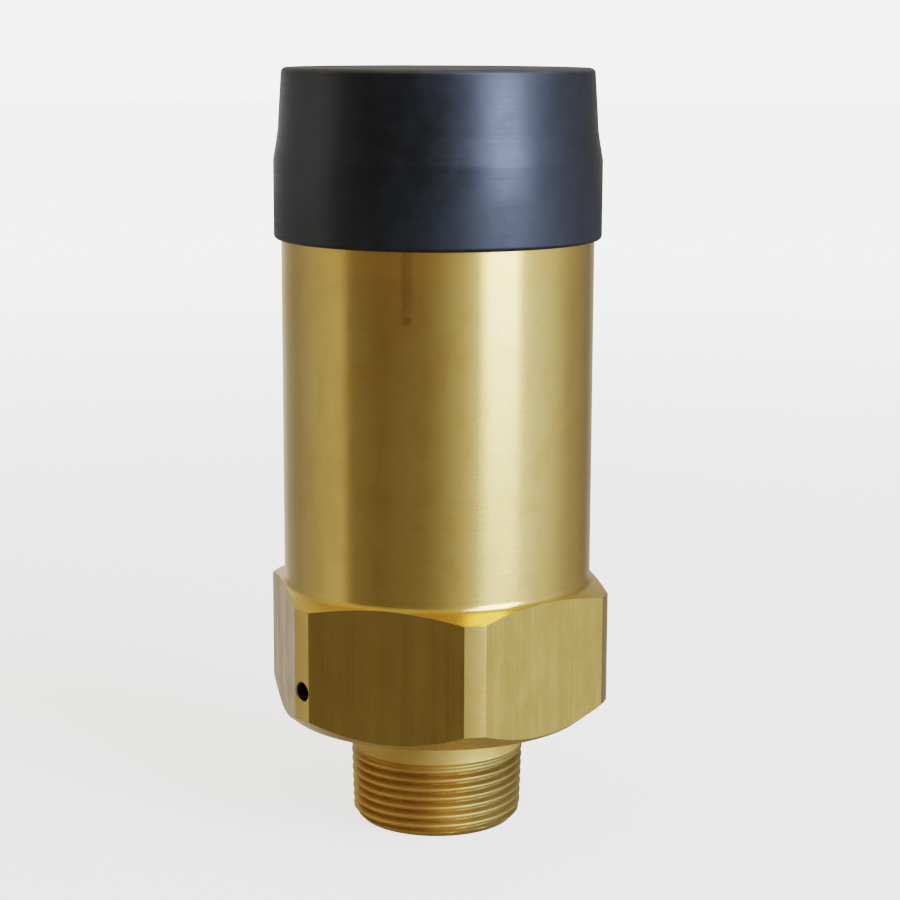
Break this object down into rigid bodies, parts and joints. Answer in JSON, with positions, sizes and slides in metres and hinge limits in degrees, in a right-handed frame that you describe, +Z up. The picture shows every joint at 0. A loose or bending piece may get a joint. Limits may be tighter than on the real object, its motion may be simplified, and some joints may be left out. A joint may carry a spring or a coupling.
{
  "type": "automatic air vent",
  "caption": "Float-type automatic air vent: hexagon-based brass cylinder with a male taper pipe thread below and a black lift-off cap over the outlet.",
  "frame": {"origin": "centre of the pipe thread's end face, which is the lowest point", "axes": "+Z up the vent's axis towards the cap; one facet of the hexagon faces -Y, two of its corners lie on the X axis; the valve seat lies in -X"},
  "size_m": [0.085, 0.078, 0.183],
  "materials": {
    "turned_brass": "satin turned brass, handled",
    "black_plastic": "satin moulded black",
    "inner_brass": "bright turned brass",
    "stainless": "stamped and turned stainless",
    "spring_steel": "dark spring steel",
    "float_steel": "drawn stainless sheet",
    "rubber": "moulded rubber",
    "fibre": "pressed fibre"
  },
  "bodies": {
    "vent_body": {"body": "turned_brass", "cap_grip_ring": "rubber", "bonnet": "inner_brass", "bonnet_o_ring": "rubber", "valve_seat": "stainless", "seat_gasket": "fibre", "dust_screen": "stainless", "screen_retaining_ring": "spring_steel", "lever_bracket": "stainless", "bracket_screw_left": "stainless", "bracket_screw_right": "stainless", "fulcrum_pin": "stainless", "fulcrum_clip": "spring_steel", "guide_spider": "inner_brass", "guide_retaining_ring": "spring_steel"},
    "cap": {"cap": "black_plastic"},
    "float": {"float_upper_shell": "float_steel", "float_lower_shell": "float_steel", "float_top_boss": "inner_brass", "float_stem": "stainless", "stem_lock_nut": "stainless", "stem_top_nut": "stainless", "float_guide_pin": "inner_brass"},
    "lever": {"lever": "stainless"},
    "valve": {"valve_plug": "inner_brass", "valve_disc": "rubber", "valve_plug_nut": "stainless"}
  },
  "joints": [
    {"name": "cap_lift", "type": "slide", "parent": "vent_body", "child": "cap", "axis": [0, 0, 1], "range_m": [0, 0.05]},
    {"name": "float_rise", "type": "slide", "parent": "vent_body", "child": "float", "axis": [0, 0, 1], "range_m": [0, 0.006]},
    {"name": "lever_swing", "type": "hinge", "parent": "vent_body", "child": "lever", "pos_m": [-0.021, 0, 0.15225], "axis": [0, -1, 0], "range_deg": [0, 16.43]},
    {"name": "valve_rise", "type": "slide", "parent": "vent_body", "child": "valve", "axis": [0, 0, 1], "range_m": [0, 0.00171]}
  ],
  "couplings": [
    {"joint": "lever_swing", "follows": "float_rise", "rad_per_m": 47.782},
    {"joint": "valve_rise", "follows": "float_rise", "ratio": 0.28571}
  ]
}
